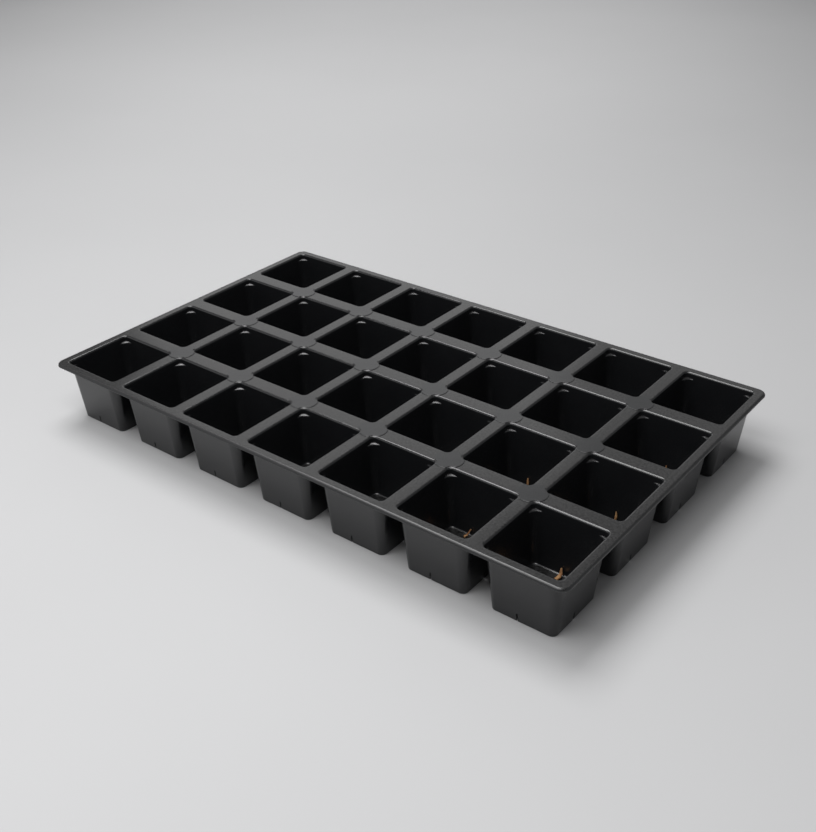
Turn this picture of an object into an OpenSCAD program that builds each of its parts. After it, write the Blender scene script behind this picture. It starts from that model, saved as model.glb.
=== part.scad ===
// Seedling plug tray: a flat deck with a turned-down rim, round pads where its ribs cross, and a grid of
// tapered cells.
// Each cell has a rounded mouth, a short collar with sloped shelves in its corners, a drafted body,
// a raised floor with a drain hole, and a slit in each wall of its foot.
// Millimetres, +Z up, +X along the columns, origin under the middle of the tray on the ground.

/* [Layout] */
// Number of cells along the length
columns = 7; // [2:1:9]
// Number of cells across the width
rows = 4; // [2:1:6]
// Distance between cell centres along the length
column_pitch = 54; // [52:0.5:80]
// Distance between cell centres across the width
row_pitch = 58.5; // [54:0.5:90]
// Height from the ground to the top of the deck
tray_height = 40; // [25:1:60]

/* [Deck and rim] */
// Thickness of the deck
deck_thickness = 1.2; // [0.8:0.1:2]
// Width of the rim from the outer cells' mouths to the tray's edge
rim_width = 6.3; // [6:0.1:20]
// Radius of the tray's corners in plan
rim_corner_radius = 6; // [4:0.5:10]
// Radius of the rim's rounded top edge
rim_edge_radius = 1.5; // [0.3:0.1:2]
// Thickness of the rim's lip
lip_thickness = 1; // [0.6:0.1:1.6]
// How far the lip hangs below the deck
lip_drop = 0.8; // [0.4:0.1:6]
// Diameter of the pads where the deck's ribs cross
pad_diameter = 17.6; // [6:0.2:22]
// How far the pads rise above the deck
pad_rise = 0.3; // [0.1:0.1:1]

/* [Cell walls] */
// Length of a cell's mouth at the deck
mouth_length = 44.8; // [36:0.2:47]
// Width of a cell's mouth at the deck
mouth_width = 47; // [36:0.2:51]
// Corner radius of the mouth
mouth_corner_radius = 2.5; // [2:0.5:6]
// Radius of the rounded edge where the deck turns down into a cell
mouth_edge_radius = 1.4; // [0.4:0.1:1.6]
// Thickness of the collar under the deck
collar_thickness = 1.4; // [1.2:0.1:1.8]
// How far a cell's flange reaches out past its collar, where the strips of deck leave room
flange_ledge = 2.8; // [0.5:0.1:2.9]
// Least width of the deck's strips between the flanges, and between flanges and rim
deck_strip = 0.5; // [0.3:0.1:2.4]
// Radius of the flare where the collar's outside turns out under the flange
flare_radius = 3; // [0.4:0.1:3.2]
// Depth of the corner shelves below the deck, at their inner edge
shelf_depth = 4; // [3:0.5:12]
// Slope of the corner shelves down to their inner edge, in degrees
shelf_slope = 20; // [0:1:40]
// Radius of the shelves' rounded inner edge
shelf_edge_radius = 0.8; // [0.2:0.1:1]
// Thickness of the walls below the collar
wall_thickness = 1; // [0.6:0.1:1.2]
// Slope of the walls away from the vertical, in degrees
draft_angle = 6; // [3:0.5:9]
// Outer corner radius of a cell at its foot
foot_corner_radius = 3.5; // [3:0.5:9]
// Radius of the foot's outer bottom edge
foot_edge_radius = 0.4; // [0.1:0.1:0.5]

/* [Floor and drains] */
// Height of a cell's floor above the ground
floor_height = 4.5; // [2:0.5:10]
// Thickness of the floor
floor_thickness = 1.2; // [0.8:0.1:1.8]
// Radius of the rounded edge between floor and wall
floor_edge_radius = 1.5; // [0.5:0.1:2.5]
// Diameter of the drain hole in the floor
drain_diameter = 9; // [4:0.5:16]
// Width of the drain slits
slit_width = 0.9; // [0.5:0.1:3]
// Height of the drain slits above the floor
slit_height = 0.5; // [0.2:0.1:4]
// How far a slit lies to the left of its wall's middle, seen from outside
slit_offset = 2.5; // [0:0.5:8]

/* [Hidden] */
$fn = 96;
plastic = [0.10, 0.10, 0.105];
both = [1, 1];
overlap = 0.2;

// Levels
deck_underside = tray_height - deck_thickness;
shelf_level = tray_height - shelf_depth;
collar_foot = shelf_level - wall_thickness;
slit_top = floor_height + slit_height;

// Directions in a section, x outwards and y upwards, that point away from solid material
upwards = [0, 1];
outwards = [1, 0];
outer_wall = [cos(draft_angle), -sin(draft_angle)];
inner_wall = -outer_wall;
shelf_top = [-sin(shelf_slope), cos(shelf_slope)];

// Round edge of the rim, which its height limits, and the band along the tray's edge that carries it
rim_round = min(rim_edge_radius, deck_thickness + lip_drop);
rim_band = max(lip_thickness, rim_round) + deck_strip / 2;

// Width between two mouths at the narrower ribs, what the band leaves of the rim, and the flanges' room there
rib_width = min(column_pitch - mouth_length, row_pitch - mouth_width);
rim_shelf = rim_width - rim_band;
flange_room = min(rib_width / 2, rim_shelf) - deck_strip / 2;
ledge = min(flange_ledge, flange_room - collar_thickness);

// Where a round edge between a drafted wall and the level ends, as a share of its radius
round_share = cos(draft_angle) / (1 + sin(draft_angle));
mouth_edge_width = mouth_edge_radius * round_share;

// Round edges that their wall or ledge limits
shelf_round = min(shelf_edge_radius, wall_thickness);
flare = min(flare_radius, min(ledge, deck_underside - collar_foot) / round_share);

// Corner axes in plan: every wall, cone and round edge of a corner turns about one of these
mouth_half = [mouth_length, mouth_width] / 2;
mouth_axis = mouth_half - mouth_corner_radius * both;
foot_inner_radius = foot_corner_radius - wall_thickness;
body_axis = mouth_half - (lean(tray_height) + foot_inner_radius) * both;
flange_radius = mouth_corner_radius + collar_thickness + ledge;
grid_half = [(columns - 1) * column_pitch, (rows - 1) * row_pitch] / 2;
tray_half = grid_half + mouth_half + rim_width * both;
rim_axis = tray_half - rim_corner_radius * both;

cell_rows = [1 : rows];
cell_columns = [1 : columns];

function cell_name(row, column) = str("cell_r", row, "_c", column);

// Middle of a cell in plan, rows counted from the front and columns from the left
function cell_centre(row, column) = [
    (column - (columns + 1) / 2) * column_pitch,
    (row - (rows + 1) / 2) * row_pitch
];

// How far a drafted wall leans out over a height
function lean(height) = height * tan(draft_angle);

// Inner wall of the collar and of the body at a level, measured out from their corner axes
function collar_wall(level) = mouth_corner_radius - lean(tray_height - level);
function body_wall(level) = foot_inner_radius + lean(level);

// Rounded rectangle with arcs about the four corner axes
module plan(axis, radius) {
    square([2 * (axis.x + radius), 2 * axis.y], center = true);
    square([2 * axis.x, 2 * (axis.y + radius)], center = true);
    for (x = [-axis.x, axis.x], y = [-axis.y, axis.y])
        translate([x, y])
            circle(radius);
}

// The corner axis of a quarter, in the frame that turns with it
function quarter_axis(axis, quarter) = quarter % 2 == 0 ? axis : [axis.y, axis.x];

// Turns a profile, x outwards and y upwards, about the four corner axes
module turn_corners(axis) {
    for (quarter = [0 : 3])
        rotate(quarter * 90)
            translate(quarter_axis(axis, quarter))
                rotate_extrude(angle = 90)
                    children();
}

// Sweeps a profile round a rounded rectangle, about its corner axes and along the runs between them
module sweep_round(axis) {
    turn_corners(axis)
        children();
    for (quarter = [0 : 3]) {
        across = quarter_axis(axis, quarter);
        rotate(quarter * 90)
            translate([across.x, 0, 0])
                rotate([90, 0, 0])
                    linear_extrude(height = 2 * across.y, center = true)
                        children();
    }
}

// The corner that lies outside a round edge: taken off an outer edge, added to an inner one.
// The two directions point from the round's centre to the faces that it meets.
module round_edge(corner, radius, first, second) {
    centre = corner - radius * (first + second) / (1 + first * second);
    difference() {
        polygon([centre + radius * first, corner + (corner - centre) * overlap, centre + radius * second]);
        translate(centre)
            circle(radius);
    }
}

// Section through the flange, the rounded mouth and the collar, which flares out under the flange
module collar_profile() {
    mouth_corner = [collar_wall(tray_height), tray_height];
    flare_corner = [collar_wall(deck_underside) + collar_thickness, deck_underside];
    difference() {
        union() {
            polygon([
                mouth_corner,
                [flange_radius, tray_height],
                [flange_radius, deck_underside],
                flare_corner,
                [collar_wall(collar_foot) + collar_thickness, collar_foot],
                [collar_wall(collar_foot), collar_foot]
            ]);
            round_edge(flare_corner, flare, upwards, inner_wall);
        }
        round_edge(mouth_corner, mouth_edge_radius, upwards, inner_wall);
    }
}

// Section through a corner shelf, which slopes down to its rounded inner edge
module shelf_profile() {
    edge = [body_wall(shelf_level), shelf_level];
    reach = body_wall(shelf_level);
    difference() {
        polygon([
            edge,
            edge + reach * [1, tan(shelf_slope)],
            [edge.x + reach, collar_foot],
            [body_wall(collar_foot), collar_foot]
        ]);
        round_edge(edge, shelf_round, shelf_top, inner_wall);
    }
}

// Shelves that fill the collar's corners out to the rounder corners of the body
module shelves() {
    intersection() {
        turn_corners(body_axis)
            shelf_profile();
        translate([0, 0, collar_foot])
            linear_extrude(height = shelf_depth)
                plan(mouth_axis, collar_wall(collar_foot) + collar_thickness);
    }
}

// Section through the drafted wall, the raised floor and the foot
module body_profile() {
    foot_corner = [body_wall(0) + wall_thickness, 0];
    floor_corner = [body_wall(floor_height), floor_height];
    difference() {
        union() {
            polygon([
                [body_wall(0), 0],
                foot_corner,
                [body_wall(collar_foot) + wall_thickness, collar_foot],
                [body_wall(collar_foot), collar_foot]
            ]);
            translate([0, floor_height - floor_thickness])
                square([body_wall(floor_height) + wall_thickness / 2, floor_thickness]);
            round_edge(floor_corner, floor_edge_radius, -upwards, outer_wall);
        }
        round_edge(foot_corner, foot_edge_radius, -upwards, outer_wall);
    }
}

// Middle of the floor, between the corner axes
module floor_middle() {
    translate([0, 0, floor_height - floor_thickness / 2])
        cube([2 * body_axis.x, 2 * body_axis.y, floor_thickness], center = true);
}

module drain_hole() {
    translate([0, 0, floor_height - 2 * floor_thickness])
        cylinder(d = drain_diameter, h = 3 * floor_thickness);
}

// One slit through each wall of the foot, open to the ground and to the edge of the floor
module drain_slits() {
    slit_depth = 2 * (wall_thickness + floor_edge_radius);
    for (quarter = [0 : 3]) {
        wall = quarter_axis(body_axis, quarter).x + body_wall(slit_top);
        rotate(quarter * 90)
            translate([wall, -slit_offset, 0])
                cube([slit_depth, slit_width, 2 * slit_top], center = true);
    }
}

module cell() {
    color(plastic)
        difference() {
            union() {
                sweep_round(mouth_axis)
                    collar_profile();
                shelves();
                sweep_round(body_axis)
                    body_profile();
                floor_middle();
            }
            drain_hole();
            drain_slits();
        }
}

// Section through the band along the tray's edge: the rounded rim and its lip
module rim_profile() {
    edge = rim_corner_radius;
    lip_bottom = deck_underside - lip_drop;
    difference() {
        polygon([
            [edge - rim_band, tray_height],
            [edge, tray_height],
            [edge, lip_bottom],
            [edge - lip_thickness, lip_bottom],
            [edge - lip_thickness, deck_underside],
            [edge - rim_band, deck_underside]
        ]);
        round_edge([edge, tray_height], rim_round, upwards, outwards);
    }
}

// Raised pad where two ribs cross, cut back to the round edges of the four mouths about it
module crossing_pad() {
    linear_extrude(height = pad_rise)
        difference() {
            circle(d = pad_diameter);
            for (x = [-column_pitch, column_pitch] / 2, y = [-row_pitch, row_pitch] / 2)
                translate([x, y])
                    plan(mouth_axis, mouth_corner_radius + mouth_edge_width);
        }
}

module deck() {
    color(plastic) {
        translate([0, 0, deck_underside])
            linear_extrude(height = deck_thickness)
                difference() {
                    plan(rim_axis, rim_corner_radius - rim_band);
                    for (r = cell_rows, c = cell_columns)
                        translate(cell_centre(r, c))
                            plan(mouth_axis, flange_radius);
                }
        sweep_round(rim_axis)
            rim_profile();
        for (r = [1 : rows - 1], c = [1 : columns - 1])
            translate(concat((cell_centre(r, c) + cell_centre(r + 1, c + 1)) / 2, tray_height))
                crossing_pad();
    }
}

deck();
for (r = cell_rows, c = cell_columns)
    translate(cell_centre(r, c)) cell();
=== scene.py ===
"""Seedling plug tray: the black moulded tray, its studio floor, lights and camera."""
import math

import bmesh
import bpy
from mathutils import Matrix, Quaternion, Vector


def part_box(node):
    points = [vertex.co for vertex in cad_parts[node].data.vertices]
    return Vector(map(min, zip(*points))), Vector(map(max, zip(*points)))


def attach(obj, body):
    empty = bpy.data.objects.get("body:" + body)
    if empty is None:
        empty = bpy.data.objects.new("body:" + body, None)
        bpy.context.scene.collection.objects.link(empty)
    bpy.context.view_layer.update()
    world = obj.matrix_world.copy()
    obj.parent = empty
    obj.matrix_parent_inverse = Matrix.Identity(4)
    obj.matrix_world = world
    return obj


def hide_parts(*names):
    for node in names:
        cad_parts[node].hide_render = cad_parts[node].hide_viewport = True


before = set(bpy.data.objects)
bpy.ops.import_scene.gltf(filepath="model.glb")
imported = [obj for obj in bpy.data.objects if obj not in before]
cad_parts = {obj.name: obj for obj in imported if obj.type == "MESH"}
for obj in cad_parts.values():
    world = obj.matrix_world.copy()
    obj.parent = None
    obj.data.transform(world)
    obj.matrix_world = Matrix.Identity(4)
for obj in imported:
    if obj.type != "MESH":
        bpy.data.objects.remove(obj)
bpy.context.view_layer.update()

MM = 0.001

# Places that the frame gives
DECK_LOW, DECK_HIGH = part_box("deck")
CELL_NODES = sorted(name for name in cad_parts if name.startswith("cell_"))
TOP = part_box(CELL_NODES[0])[1].z

# Deck and rim
DECK_THICKNESS = 1.2 * MM
RIM_CORNER = 6 * MM
RIM_EDGE = 1.5 * MM
RIM_BAND = 1.75 * MM
LIP_THICKNESS = 1 * MM
LIP_SOFTEN = 0.2 * MM
PAD_RADIUS = 8.8 * MM
PAD_RISE = 0.3 * MM
PAD_SOFTEN = 0.24 * MM

# Cell walls
DRAFT = math.radians(6)
MOUTH_LENGTH = 44.8 * MM
MOUTH_WIDTH = 47 * MM
MOUTH_CORNER = 2.5 * MM
MOUTH_EDGE = 1.4 * MM
COLLAR_THICKNESS = 1.4 * MM
FLANGE_LEDGE = 2.8 * MM
FLARE = 3 * MM
SHELF_DEPTH = 4 * MM
SHELF_SLOPE = math.radians(20)
SHELF_ROUND = 0.8 * MM
SHELF_REACH = 2.4 * MM
SHELF_CROWN_RISE = 1 * MM
WALL_THICKNESS = 1 * MM
FOOT_CORNER = 3.5 * MM
FOOT_EDGE = 0.4 * MM

# Floor and drains
FLOOR_HEIGHT = 4.5 * MM
FLOOR_THICKNESS = 1.2 * MM
FLOOR_EDGE = 1.5 * MM
DRAIN_RADIUS = 4.5 * MM
SLIT_WIDTH = 0.9 * MM
SLIT_HEIGHT = 5 * MM
SLIT_OFFSET = 2.5 * MM

# Fineness of the meshes
CORNER_STEPS = 12
EDGE_STEPS = 6
SMALL_EDGE_STEPS = 3
DRAIN_POINTS = 36
PAD_POINTS = 72
SAME_PLACE = 1e-6
SEAT_HALVINGS = 30
SHARP_ANGLE = math.radians(35)

# Directions in plan and in a section, out and up; the section's point away from solid plastic
UPRIGHT = Vector((0, 0, 1))
CORNER_SIDES = ((1, 1), (-1, 1), (-1, -1), (1, -1))
UPWARDS = Vector((0, 1))
OUTWARDS = Vector((1, 0))
OUTER_WALL = Vector((math.cos(DRAFT), -math.sin(DRAFT)))
INNER_WALL = -OUTER_WALL
SHELF_FACE = Vector((-math.sin(SHELF_SLOPE), math.cos(SHELF_SLOPE)))

# Derived levels and corner axes
UNDERSIDE = TOP - DECK_THICKNESS
SHELF_LEVEL = TOP - SHELF_DEPTH
SHELF_CROWN = SHELF_LEVEL + SHELF_CROWN_RISE
COLLAR_FOOT = SHELF_LEVEL - WALL_THICKNESS
FLANGE_CORNER = MOUTH_CORNER + COLLAR_THICKNESS + FLANGE_LEDGE
MOUTH_EDGE_CORNER = MOUTH_CORNER + MOUTH_EDGE * math.cos(DRAFT) / (1 + math.sin(DRAFT))
FOOT_INNER = FOOT_CORNER - WALL_THICKNESS
MOUTH_HALF = Vector((MOUTH_LENGTH, MOUTH_WIDTH, 0)) / 2
MOUTH_AXIS = MOUTH_HALF - Vector((MOUTH_CORNER, MOUTH_CORNER, 0))
BODY_INSET = TOP * math.tan(DRAFT) + FOOT_INNER
BODY_AXIS = MOUTH_HALF - Vector((BODY_INSET, BODY_INSET, 0))
RIM_AXIS = (DECK_HIGH - DECK_LOW) / 2 - Vector((RIM_CORNER, RIM_CORNER, 0))

# Dry plant bits left in the cells: out from the middle of the cell, up, and thickness, all in millimetres
PLANT_BITS = {
    "cell_r1_c7": [
        (-1.2, 13.1, 5.4, 2.2),
        (-0.7, 15.9, 5.5, 2.2),
        (-0.9, 18.2, 6.0, 1.9),
        (-1.3, 19.2, 9.0, 1.0),
    ],
    "cell_r1_c6": [(-6.6, 15.4, 5.0, 1.4), (-6.0, 17.7, 5.2, 1.2), (-4.7, 19.3, 8.5, 0.8)],
    "cell_r2_c7": [(-1.9, 18.7, 5.4, 1.6), (-1.4, 19.0, 8.0, 1.6), (-1.9, 19.4, 10.8, 0.8)],
    "cell_r2_c6": [(-5.2, 18.7, 5.6, 1.4), (-5.3, 19.0, 7.8, 1.4), (-5.6, 19.3, 10.0, 0.8)],
    "cell_r3_c7": [(-0.9, 18.8, 5.4, 1.4), (-0.6, 19.0, 8.0, 1.3), (-0.9, 19.4, 11.0, 0.6)],
}
BIT_POINTS = 10
BIT_FLATNESS = 0.7

# Finishes: tones run from dark to light, and patterns are scale, detail and roughness of a noise
PLASTIC_TONES = (0.0082, 0.0087, 0.0097), (0.0106, 0.0111, 0.0121)
MOTTLE_TONES = (0.0005, 0.0005, 0.0006), (0.0255, 0.0252, 0.0255)
MOTTLE_RANGE = 0.36, 0.64
PLASTIC_CLOUDS = 45, 4, 0.6
PLASTIC_MOTTLE = 850, 2, 0.6
PLASTIC_GRAIN = 2200, 2, 0.5
GRAIN_STRENGTH = 0.25
GRAIN_HEIGHT = 0.02 * MM
SATIN_RANGE = 0.21, 0.25
RIM_DULLNESS = 0.22
PLASTIC_IOR = 1.6
RIB_TOP_TURN = 0.8, 0.95
RIB_TOP_FADE = TOP + 0.7 * PAD_RISE, TOP + 0.3 * PAD_RISE
STEM_TONES = (0.17, 0.06, 0.018), (0.47, 0.27, 0.12)
STEM_STREAKS = 320, 3, 0.5
STEM_ROUGHNESS = 0.7
STUDIO_FLOOR_TONES = (0.50, 0.50, 0.505), (0.515, 0.515, 0.52)
STUDIO_FLOOR_CLOUDS = 3, 3, 0.5
STUDIO_FLOOR_ROUGHNESS = 0.9
STUDIO_FLOOR_SHEEN = 0.1

# Studio, in metres, degrees and watts
STUDIO_FLOOR_SPAN = 12.0
SOFTBOXES = {
    # hung over the tray: place, tilt about X and Y, width, depth, power
    "key_softbox": (Vector((-0.40, 0.17, 1.20)), (-22, -25), 0.68, 0.75, 11.8),
    "front_softbox": (Vector((0.05, -0.45, 0.85)), (0, 0), 0.70, 0.50, 5.4),
}
PANELS = {
    # stood round the tray, facing it: place, width, height, power
    "back_left_panel": (Vector((-1.32, 1.43, 0.90)), 1.05, 1.0, 2.45),
    "back_panel": (Vector((-0.55, 1.90, 0.90)), 0.9, 1.0, 0.9),
    "front_left_panel": (Vector((-1.30, -1.30, 0.80)), 1.6, 1.0, 3.0),
}
TRAY_MIDDLE = Vector((0, 0, 0))
BACKDROP_SPOT = Vector((-0.88, 0.98, 2.40))
BACKDROP_AIM = Vector((-0.88, 1.02, 0))
BACKDROP_CONE = math.radians(50)
BACKDROP_BLEND = 1
BACKDROP_SOFTNESS = 0.3
BACKDROP_POWER = 110.0
SURROUND = (0.204, 0.205, 0.207)

# Camera, as the photograph was taken
CAMERA_PLACE = Vector((0.3834, -0.4736, 0.3726))
CAMERA_AIM = Vector((0.0340, -0.0349, 0.0400))
CAMERA_ROLL = math.radians(-1.05)
CAMERA_LENS = 48.17


def collar_wall(level):
    """Inner face of the collar at a level, measured out from the mouth's corner axes."""
    return MOUTH_CORNER - (TOP - level) * math.tan(DRAFT)


def body_wall(level):
    """Inner face of the body at a level, measured out from the body's corner axes."""
    return FOOT_INNER + level * math.tan(DRAFT)


def round_points(corner, radius, first, second, steps=EDGE_STEPS):
    """Points (out, up) of a round edge, from the face that one direction points to round to the other's."""
    centre = Vector(corner) - radius * (first + second) / (1 + first.dot(second))
    return [centre + radius * first.slerp(second, i / steps) for i in range(steps + 1)]


def sweep_round(bm, section, axis):
    """Sweeps a section of (out, up) points round a rectangle, a quarter turn about each corner axis."""
    points = [bm.verts.new((axis.x + out, axis.y, up)) for out, up in section]
    chain = points + [bm.edges.new(pair) for pair in zip(points, points[1:])]
    corners = [Vector((x * axis.x, y * axis.y, 0)) for x, y in CORNER_SIDES]
    for corner, following in zip(corners, corners[1:] + corners[:1]):
        turned = bmesh.ops.spin(
            bm, geom=chain, cent=corner, axis=UPRIGHT, angle=math.pi / 2, steps=CORNER_STEPS
        )
        run = following - corner
        moved = bmesh.ops.spin(
            bm, geom=turned["geom_last"], cent=corner, axis=UPRIGHT, dvec=run, angle=0, steps=1
        )
        chain = moved["geom_last"]
    bmesh.ops.remove_doubles(bm, verts=bm.verts, dist=SAME_PLACE)


def edges_at(bm, level, open_only=True):
    """Edges that lie at a level, of open borders only or all of them."""
    return [
        e
        for e in bm.edges
        if (e.is_boundary or e.is_wire or not open_only)
        and all(abs(v.co.z - level) < SAME_PLACE for v in e.verts)
    ]


def loose_mesh(bm, name):
    """Turns a bmesh into a mesh as it is."""
    mesh = bpy.data.meshes.new(name)
    bm.to_mesh(mesh)
    bm.free()
    return mesh


def join_shell(bm, mesh):
    """Takes a mesh into a bmesh and lets go of it."""
    bm.from_mesh(mesh)
    bpy.data.meshes.remove(mesh)


def soften_shading(mesh):
    """Shades round edges soft and leaves sharp ones crisp."""
    mesh.shade_smooth()
    mesh.set_sharp_from_angle(angle=SHARP_ANGLE)
    return mesh


def finish_mesh(bm, name):
    """Turns closed shells into a mesh that faces outwards."""
    bmesh.ops.recalc_face_normals(bm, faces=bm.faces)
    return soften_shading(loose_mesh(bm, name))


def cut_away(mesh, cutter_mesh):
    """What is left of a closed shell once others are cut out of it."""
    blank = bpy.data.objects.new("blank", mesh)
    cutter = bpy.data.objects.new("cutter", cutter_mesh)
    for helper in (blank, cutter):
        bpy.context.scene.collection.objects.link(helper)
    cut = blank.modifiers.new("cut", "BOOLEAN")
    cut.operation = "DIFFERENCE"
    cut.solver = "EXACT"
    cut.object = cutter
    left = bpy.data.meshes.new_from_object(blank.evaluated_get(bpy.context.evaluated_depsgraph_get()))
    for helper in (blank, cutter):
        bpy.data.objects.remove(helper)
    return left


def place_piece(mesh, name):
    """Puts a finished mesh in the scene, on the tray's one body."""
    piece = bpy.data.objects.new(name, mesh)
    bpy.context.scene.collection.objects.link(piece)
    weighted = piece.modifiers.new("even_shading", "WEIGHTED_NORMAL")
    weighted.keep_sharp = True
    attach(piece, "root")
    return piece


def collar_section():
    """From the collar's foot outside, over the flare, flange and mouth's edge, to above the shelf."""
    flare_corner = (collar_wall(UNDERSIDE) + COLLAR_THICKNESS, UNDERSIDE)
    return [
        (collar_wall(COLLAR_FOOT) + COLLAR_THICKNESS, COLLAR_FOOT),
        *round_points(flare_corner, FLARE, INNER_WALL, UPWARDS),
        (FLANGE_CORNER, UNDERSIDE),
        (FLANGE_CORNER, TOP),
        *round_points((collar_wall(TOP), TOP), MOUTH_EDGE, UPWARDS, INNER_WALL),
        (collar_wall(SHELF_CROWN), SHELF_CROWN),
    ]


def shelf_section():
    """Down the slope of a corner shelf, from under the collar, and round its edge."""
    edge = Vector((body_wall(SHELF_LEVEL), SHELF_LEVEL))
    slope = Vector((math.cos(SHELF_SLOPE), math.sin(SHELF_SLOPE)))
    return [
        edge + slope * SHELF_REACH,
        *round_points(edge, SHELF_ROUND, SHELF_FACE, INNER_WALL),
    ]


def inside_section():
    """Over a corner shelf, down the wall and round onto the floor."""
    floor_corner = (body_wall(FLOOR_HEIGHT), FLOOR_HEIGHT)
    return shelf_section() + round_points(floor_corner, FLOOR_EDGE, OUTER_WALL, -UPWARDS)


def outside_section():
    """From under the floor down inside the foot, round its edge and up the wall to the collar."""
    ceiling = FLOOR_HEIGHT - FLOOR_THICKNESS
    foot = (body_wall(0) + WALL_THICKNESS, 0)
    return [
        (body_wall(ceiling) - FLOOR_EDGE, ceiling),
        (body_wall(ceiling), ceiling),
        (body_wall(0), 0),
        *round_points(foot, FOOT_EDGE, -UPWARDS, OUTER_WALL, SMALL_EDGE_STEPS),
        (body_wall(COLLAR_FOOT) + WALL_THICKNESS, COLLAR_FOOT),
    ]


def shelf_point(across, reach):
    """Point of the shelf's face in one corner, a way out from the body's corner axis."""
    profile = shelf_section()
    for outer, inner in zip(profile, profile[1:]):
        if reach >= inner.x:
            share = (reach - inner.x) / (outer.x - inner.x)
            return BODY_AXIS + across * reach + Vector((0, 0, inner.y + share * (outer.y - inner.y)))
    return BODY_AXIS + across * profile[-1].x + Vector((0, 0, profile[-1].y))


def past_collar(point):
    """How far a point lies beyond the collar's inner wall at its level."""
    beyond = Vector((max(point.x - MOUTH_AXIS.x, 0), max(point.y - MOUTH_AXIS.y, 0)))
    return beyond.length - collar_wall(point.z)


def seat_shelves(bm):
    """Draws the shelves back to the collar's wall: they lie in the corners, and the walls stay flush."""
    foot = shelf_section()[-1]
    for vert in bm.verts:
        if vert.co.z < foot.y + SAME_PLACE:
            continue
        side = Vector((math.copysign(1, vert.co.x), math.copysign(1, vert.co.y), 1))
        folded = Vector((abs(vert.co.x), abs(vert.co.y), 0)) - BODY_AXIS
        across = folded.normalized()
        near, far = foot.x, folded.length
        if past_collar(shelf_point(across, far)) > 0:
            for _ in range(SEAT_HALVINGS):
                middle = (near + far) / 2
                if past_collar(shelf_point(across, middle)) > 0:
                    far = middle
                else:
                    near = middle
            vert.co = shelf_point(across, near) * side
    bmesh.ops.remove_doubles(bm, verts=bm.verts, dist=SAME_PLACE)


def add_drain(bm):
    """Drops the drain hole's wall through the floor and fills the floor round it, above and below."""
    rim = bmesh.ops.create_circle(
        bm, segments=DRAIN_POINTS, radius=DRAIN_RADIUS, matrix=Matrix.Translation((0, 0, FLOOR_HEIGHT))
    )
    ring = rim["verts"] + [e for e in bm.edges if e.is_wire]
    drop = (0, 0, -FLOOR_THICKNESS)
    bmesh.ops.spin(bm, geom=ring, cent=(0, 0, 0), axis=UPRIGHT, dvec=drop, angle=0, steps=1)
    for level in (FLOOR_HEIGHT, FLOOR_HEIGHT - FLOOR_THICKNESS):
        bmesh.ops.triangle_fill(bm, edges=edges_at(bm, level), use_beauty=True, normal=UPRIGHT)


def slit_blades():
    """Four thin upright blades, one through each wall of the foot."""
    bm = bmesh.new()
    depth = 2 * (WALL_THICKNESS + FLOOR_EDGE)
    size = Matrix.Diagonal((depth, SLIT_WIDTH, 2 * SLIT_HEIGHT, 1))
    for quarter in range(4):
        turn = Matrix.Rotation(quarter * math.pi / 2, 4, "Z")
        reach = (BODY_AXIS.y if quarter % 2 else BODY_AXIS.x) + body_wall(SLIT_HEIGHT)
        place = turn @ Matrix.Translation((reach, -SLIT_OFFSET, 0))
        bmesh.ops.create_cube(bm, size=1, matrix=place @ size)
    return loose_mesh(bm, "slit_blades")


def cell_mesh():
    """One cell about its own upright axis: flange, mouth, collar, corner shelves, body, floor and foot."""
    bm = bmesh.new()
    sweep_round(bm, inside_section(), BODY_AXIS)
    seat_shelves(bm)
    shelf_line = [e for e in bm.edges if e.is_boundary and e.verts[0].co.z > COLLAR_FOOT]
    sweep_round(bm, collar_section(), MOUTH_AXIS)
    bmesh.ops.bridge_loops(bm, edges=shelf_line + edges_at(bm, SHELF_CROWN))
    sweep_round(bm, outside_section(), BODY_AXIS)
    bmesh.ops.bridge_loops(bm, edges=edges_at(bm, COLLAR_FOOT))
    add_drain(bm)
    return soften_shading(cut_away(finish_mesh(bm, "cell_blank"), slit_blades()))


def rim_section():
    """From the deck over the rounded rim, down the lip and back in under the deck."""
    lip_foot = DECK_LOW.z
    lip_inner = RIM_CORNER - LIP_THICKNESS
    return [
        (RIM_CORNER - RIM_BAND, TOP),
        *round_points((RIM_CORNER, TOP), RIM_EDGE, UPWARDS, OUTWARDS),
        *round_points((RIM_CORNER, lip_foot), LIP_SOFTEN, OUTWARDS, -UPWARDS, SMALL_EDGE_STEPS),
        (lip_inner, lip_foot),
        (lip_inner, UNDERSIDE),
        (RIM_CORNER - RIM_BAND, UNDERSIDE),
    ]


def cell_centre(node):
    """Middle of a cell in plan."""
    low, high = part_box(node)
    return Vector(((low.x + high.x) / 2, (low.y + high.y) / 2, 0))


def rib_crossings():
    """Places of the crossings between four cells, and the way from one to the middle of a cell."""
    half_step = (cell_centre("cell_r2_c2") - cell_centre("cell_r1_c1")) / 2
    centres = [cell_centre(node) for node in CELL_NODES]
    end = centres[-1] - half_step
    return [c + half_step for c in centres if c.x < end.x and c.y < end.y], half_step


def mouth_plugs(half_step):
    """Upright plugs as wide as the round edges of the four mouths about a crossing."""
    bm = bmesh.new()
    levels = TOP - PAD_RISE, TOP + 2 * PAD_RISE
    for side_x, side_y in CORNER_SIDES:
        plug = bmesh.new()
        sweep_round(plug, [(MOUTH_EDGE_CORNER, level) for level in levels], MOUTH_AXIS)
        for level in levels:
            bmesh.ops.edgeloop_fill(plug, edges=edges_at(plug, level))
        bmesh.ops.recalc_face_normals(plug, faces=plug.faces)
        bmesh.ops.translate(plug, verts=plug.verts, vec=(side_x * half_step.x, side_y * half_step.y, 0))
        join_shell(bm, loose_mesh(plug, "mouth_plug"))
    return loose_mesh(bm, "mouth_plugs")


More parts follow.
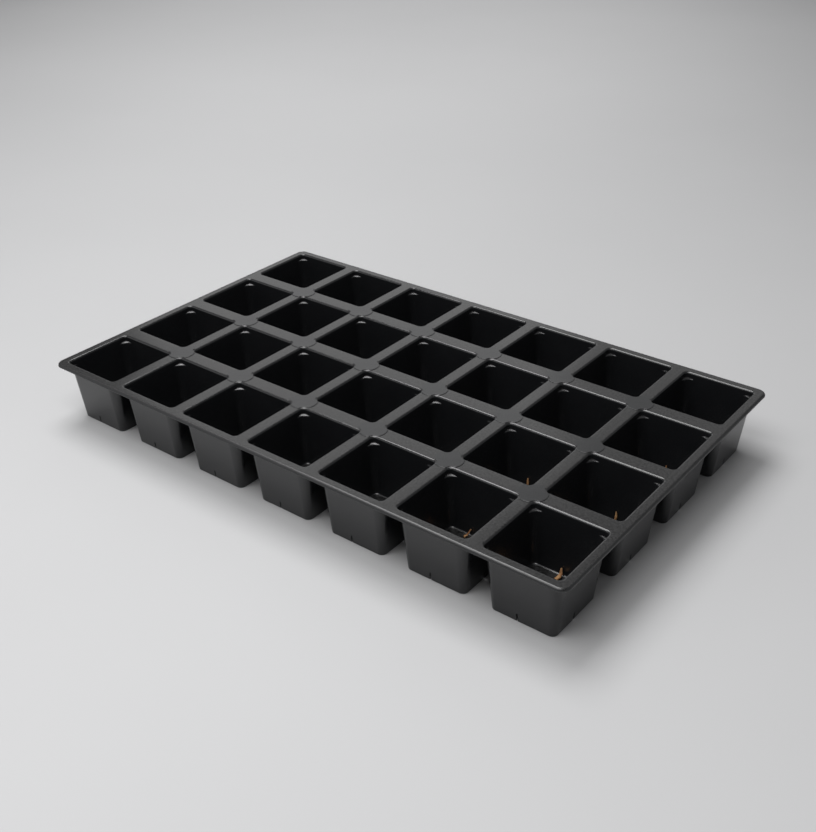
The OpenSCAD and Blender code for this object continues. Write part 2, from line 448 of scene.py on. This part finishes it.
def crossing_pad(half_step):
    """A flat round pad, cut back to the mouths about it, with a softened top edge."""
    bm = bmesh.new()
    bmesh.ops.create_cone(
        bm,
        cap_ends=True,
        segments=PAD_POINTS,
        radius1=PAD_RADIUS,
        radius2=PAD_RADIUS,
        depth=PAD_RISE,
        matrix=Matrix.Translation((0, 0, TOP + PAD_RISE / 2)),
    )
    cut_mesh = cut_away(loose_mesh(bm, "pad_blank"), mouth_plugs(half_step))
    bm = bmesh.new()
    join_shell(bm, cut_mesh)
    top_edges = edges_at(bm, TOP + PAD_RISE, open_only=False)
    bmesh.ops.bevel(
        bm,
        geom=[e for e in top_edges if e.calc_face_angle(0) > SHARP_ANGLE],
        offset=PAD_SOFTEN,
        offset_type="OFFSET",
        affect="EDGES",
        segments=SMALL_EDGE_STEPS,
        profile=0.5,
        material=-1,
    )
    return loose_mesh(bm, "crossing_pad")


def deck_mesh():
    """The flat grid round the flanges, with the rounded rim, its lip and the pads where the ribs cross."""
    bm = bmesh.new()
    sweep_round(bm, rim_section(), RIM_AXIS)
    for node in CELL_NODES:
        hole = bmesh.new()
        sweep_round(hole, [(FLANGE_CORNER, UNDERSIDE), (FLANGE_CORNER, TOP)], MOUTH_AXIS)
        bmesh.ops.translate(hole, verts=hole.verts, vec=cell_centre(node))
        join_shell(bm, loose_mesh(hole, "flange_seat"))
    for level in (TOP, UNDERSIDE):
        bmesh.ops.triangle_fill(bm, edges=edges_at(bm, level), use_beauty=True, normal=UPRIGHT)
    crossings, half_step = rib_crossings()
    pad = crossing_pad(half_step)
    for place in crossings:
        moved = pad.copy()
        moved.transform(Matrix.Translation(place))
        join_shell(bm, moved)
    return finish_mesh(bm, "deck_plate")


def new_material(name):
    """A material, its nodes and links, its shader and the piece's own coordinates."""
    material = bpy.data.materials.new(name)
    material.use_nodes = True
    nodes = material.node_tree.nodes
    coords = nodes.new("ShaderNodeTexCoord").outputs["Object"]
    return material, nodes, material.node_tree.links, nodes["Principled BSDF"], coords


def tone_ramp(nodes, links, factor, dark, light, low=0.3, high=0.7):
    """Colours that run from dark to light over a noise's middle range."""
    ramp = nodes.new("ShaderNodeValToRGB")
    ramp.color_ramp.elements[0].position = low
    ramp.color_ramp.elements[1].position = high
    ramp.color_ramp.elements[0].color = (*dark, 1)
    ramp.color_ramp.elements[1].color = (*light, 1)
    links.new(factor, ramp.inputs["Fac"])
    return ramp.outputs["Color"]


def noise(nodes, links, coords, scale, detail, rough):
    """A cloudy pattern on a piece's own coordinates."""
    texture = nodes.new("ShaderNodeTexNoise")
    texture.inputs["Scale"].default_value = scale
    texture.inputs["Detail"].default_value = detail
    texture.inputs["Roughness"].default_value = rough
    links.new(coords, texture.inputs["Vector"])
    return texture.outputs["Fac"]


def rise(nodes, links, value, start, full):
    """Nothing at the start value, one at the full value, and a straight rise between."""
    ramp = nodes.new("ShaderNodeMapRange")
    ramp.inputs["From Min"].default_value = start
    ramp.inputs["From Max"].default_value = full
    links.new(value, ramp.inputs["Value"])
    return ramp.outputs["Result"]


def spread(nodes, links, factor, low, high):
    """Maps a factor to a range of values."""
    span = nodes.new("ShaderNodeMapRange")
    span.inputs["To Min"].default_value = low
    span.inputs["To Max"].default_value = high
    links.new(factor, span.inputs["Value"])
    return span.outputs["Result"]


def reckon(nodes, links, operation, *values):
    """One number from one or two others."""
    number = nodes.new("ShaderNodeMath")
    number.operation = operation
    for i, value in enumerate(values):
        links.new(value, number.inputs[i])
    return number.outputs["Value"]


def part_of(nodes, links, vector, axis):
    """A vector's part along one axis."""
    parts = nodes.new("ShaderNodeSeparateXYZ")
    links.new(vector, parts.inputs["Vector"])
    return parts.outputs[axis]


def blend_tones(nodes, links, factor, plain, marked):
    """Goes from one colour to another as a factor rises."""
    blend = nodes.new("ShaderNodeMix")
    blend.data_type = "RGBA"
    links.new(factor, blend.inputs["Factor"])
    links.new(plain, blend.inputs["A"])
    links.new(marked, blend.inputs["B"])
    return blend.outputs["Result"]


def rib_tops(nodes, links, coords):
    """One on the flat tops of the ribs and the rim, nothing on walls and on the raised pads."""
    normal = nodes.new("ShaderNodeNewGeometry").outputs["Normal"]
    facing_up = rise(nodes, links, part_of(nodes, links, normal, "Z"), *RIB_TOP_TURN)
    below_pads = rise(nodes, links, part_of(nodes, links, coords, "Z"), *RIB_TOP_FADE)
    return reckon(nodes, links, "MULTIPLY", facing_up, below_pads)


def rim_wear(nodes, links, coords):
    """How much duller the handled rim is than the rest of the tray."""
    worn = []
    for axis, half in (("X", DECK_HIGH.x), ("Y", DECK_HIGH.y)):
        from_middle = reckon(nodes, links, "ABSOLUTE", part_of(nodes, links, coords, axis))
        worn.append(rise(nodes, links, from_middle, half - RIM_BAND, half - RIM_EDGE / 2))
    return spread(nodes, links, reckon(nodes, links, "MAXIMUM", *worn), 0, RIM_DULLNESS)


def satin_black_plastic():
    """Near-black satin plastic: cloudy walls and pads, a mottled grain on the ribs and a duller rim."""
    material, nodes, links, shader, coords = new_material("satin_black_plastic")
    clouds = noise(nodes, links, coords, *PLASTIC_CLOUDS)
    mottle = noise(nodes, links, coords, *PLASTIC_MOTTLE)
    plain = tone_ramp(nodes, links, clouds, *PLASTIC_TONES)
    marked = tone_ramp(nodes, links, mottle, *MOTTLE_TONES, *MOTTLE_RANGE)
    tops = rib_tops(nodes, links, coords)
    links.new(blend_tones(nodes, links, tops, plain, marked), shader.inputs["Base Color"])
    satin = spread(nodes, links, clouds, *SATIN_RANGE)
    dullness = reckon(nodes, links, "ADD", satin, rim_wear(nodes, links, coords))
    links.new(dullness, shader.inputs["Roughness"])
    shader.inputs["IOR"].default_value = PLASTIC_IOR
    bump = nodes.new("ShaderNodeBump")
    bump.inputs["Strength"].default_value = GRAIN_STRENGTH
    bump.inputs["Distance"].default_value = GRAIN_HEIGHT
    links.new(noise(nodes, links, coords, *PLASTIC_GRAIN), bump.inputs["Height"])
    links.new(bump.outputs["Normal"], shader.inputs["Normal"])
    return material


def show_moulded(mesh, node, plastic):
    """Shows a moulded piece in place of a plain solid."""
    mesh.materials.clear()
    mesh.materials.append(plastic)
    piece = place_piece(mesh, f"{node}_moulded")
    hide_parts(node)


def dress_tray():
    """Shows all the tray's pieces as they are moulded: the cells, then the deck."""
    plastic = satin_black_plastic()
    blank = cell_mesh()
    for node in CELL_NODES:
        mesh = blank.copy()
        mesh.transform(Matrix.Translation(cell_centre(node)))
        mesh.name = f"{node}_moulded"
        show_moulded(mesh, node, plastic)
    bpy.data.meshes.remove(blank)
    show_moulded(deck_mesh(), "deck", plastic)


def dry_sliver(path, name):
    """A bent sliver of dry stem: flattened rings along a path, joined and closed at both ends."""
    bm = bmesh.new()
    last = len(path) - 1
    flatten = Matrix.Diagonal((1, BIT_FLATNESS, 1, 1))
    rings = []
    for i, (place, thickness) in enumerate(path):
        along = path[min(i + 1, last)][0] - path[max(i - 1, 0)][0]
        turn = along.to_track_quat("Z", "Y").to_matrix().to_4x4()
        ring = bmesh.ops.create_circle(
            bm,
            cap_ends=i in (0, last),
            segments=BIT_POINTS,
            radius=thickness / 2,
            matrix=Matrix.Translation(place) @ turn @ flatten,
        )
        rings.append({e for v in ring["verts"] for e in v.link_edges})
    for near, far in zip(rings, rings[1:]):
        bmesh.ops.bridge_loops(bm, edges=list(near | far))
    return finish_mesh(bm, name)


def dry_stem():
    """Dull tan to orange-brown stem, darker in streaks."""
    material, nodes, links, shader, coords = new_material("dry_stem")
    streaks = noise(nodes, links, coords, *STEM_STREAKS)
    links.new(tone_ramp(nodes, links, streaks, *STEM_TONES), shader.inputs["Base Color"])
    shader.inputs["Roughness"].default_value = STEM_ROUGHNESS
    return material


def scatter_plant_bits():
    """Lays the dry bits on the floors and against the rear walls of the cells that hold them."""
    stem = dry_stem()
    for node, points in PLANT_BITS.items():
        middle = cell_centre(node)
        path = [(middle + Vector((x, y, z)) * MM, thickness * MM) for x, y, z, thickness in points]
        mesh = dry_sliver(path, f"{node}_plant_bit")
        mesh.materials.append(stem)
        place_piece(mesh, f"{node}_plant_bit")


def pale_floor():
    """Plain pale matt floor, hardly clouded."""
    material, nodes, links, shader, coords = new_material("pale_floor")
    clouds = noise(nodes, links, coords, *STUDIO_FLOOR_CLOUDS)
    links.new(tone_ramp(nodes, links, clouds, *STUDIO_FLOOR_TONES), shader.inputs["Base Color"])
    shader.inputs["Roughness"].default_value = STUDIO_FLOOR_ROUGHNESS
    shader.inputs["Specular IOR Level"].default_value = STUDIO_FLOOR_SHEEN
    return material


def studio_floor():
    """One large flat sheet that the tray stands on."""
    bm = bmesh.new()
    bmesh.ops.create_grid(bm, x_segments=1, y_segments=1, size=STUDIO_FLOOR_SPAN / 2)
    mesh = loose_mesh(bm, "studio_floor")
    mesh.materials.append(pale_floor())
    floor = bpy.data.objects.new("studio_floor", mesh)
    bpy.context.scene.collection.objects.link(floor)


def hang_light(light, place, turn):
    """Puts a light in the scene."""
    lamp = bpy.data.objects.new(light.name, light)
    lamp.location = place
    lamp.rotation_euler = turn
    bpy.context.scene.collection.objects.link(lamp)


def facing(place, aim):
    """Turn of a light that shines from one place at another."""
    return (place - aim).to_track_quat("Z", "Y").to_euler()


def soft_panel(name, width, depth, power):
    """An evenly lit rectangle."""
    light = bpy.data.lights.new(name, "AREA")
    light.shape = "RECTANGLE"
    light.size, light.size_y = width, depth
    light.energy = power
    return light


def backdrop_spot():
    """A soft pool of light on the floor behind the tray."""
    light = bpy.data.lights.new("backdrop_spot", "SPOT")
    light.energy = BACKDROP_POWER
    light.spot_size = BACKDROP_CONE
    light.spot_blend = BACKDROP_BLEND
    light.shadow_soft_size = BACKDROP_SOFTNESS
    return light


def studio_surround():
    """An even pale surround that fills the shadows."""
    world = bpy.data.worlds.new("studio_surround")
    world.use_nodes = True
    background = world.node_tree.nodes["Background"]
    background.inputs["Color"].default_value = (*SURROUND, 1)
    bpy.context.scene.world = world


def studio_lights():
    """Soft boxes overhead, panels to the sides, the pool behind and the surround."""
    for name, (place, tilt, width, depth, power) in SOFTBOXES.items():
        turn = (math.radians(tilt[0]), math.radians(tilt[1]), 0)
        hang_light(soft_panel(name, width, depth, power), place, turn)
    for name, (place, width, height, power) in PANELS.items():
        hang_light(soft_panel(name, width, height, power), place, facing(place, TRAY_MIDDLE))
    hang_light(backdrop_spot(), BACKDROP_SPOT, facing(BACKDROP_SPOT, BACKDROP_AIM))
    studio_surround()


def photo_camera():
    """A camera where the photograph was taken from."""
    data = bpy.data.cameras.new("photo_camera")
    data.lens = CAMERA_LENS
    camera = bpy.data.objects.new("photo_camera", data)
    camera.location = CAMERA_PLACE
    camera.rotation_mode = "QUATERNION"
    look = (CAMERA_AIM - CAMERA_PLACE).to_track_quat("-Z", "Y")
    camera.rotation_quaternion = look @ Quaternion((0, 0, 1), CAMERA_ROLL)
    bpy.context.scene.collection.objects.link(camera)
    bpy.context.scene.camera = camera


dress_tray()
scatter_plant_bits()
studio_floor()
studio_lights()
photo_camera()
bpy.context.scene.view_settings.view_transform = "Standard"
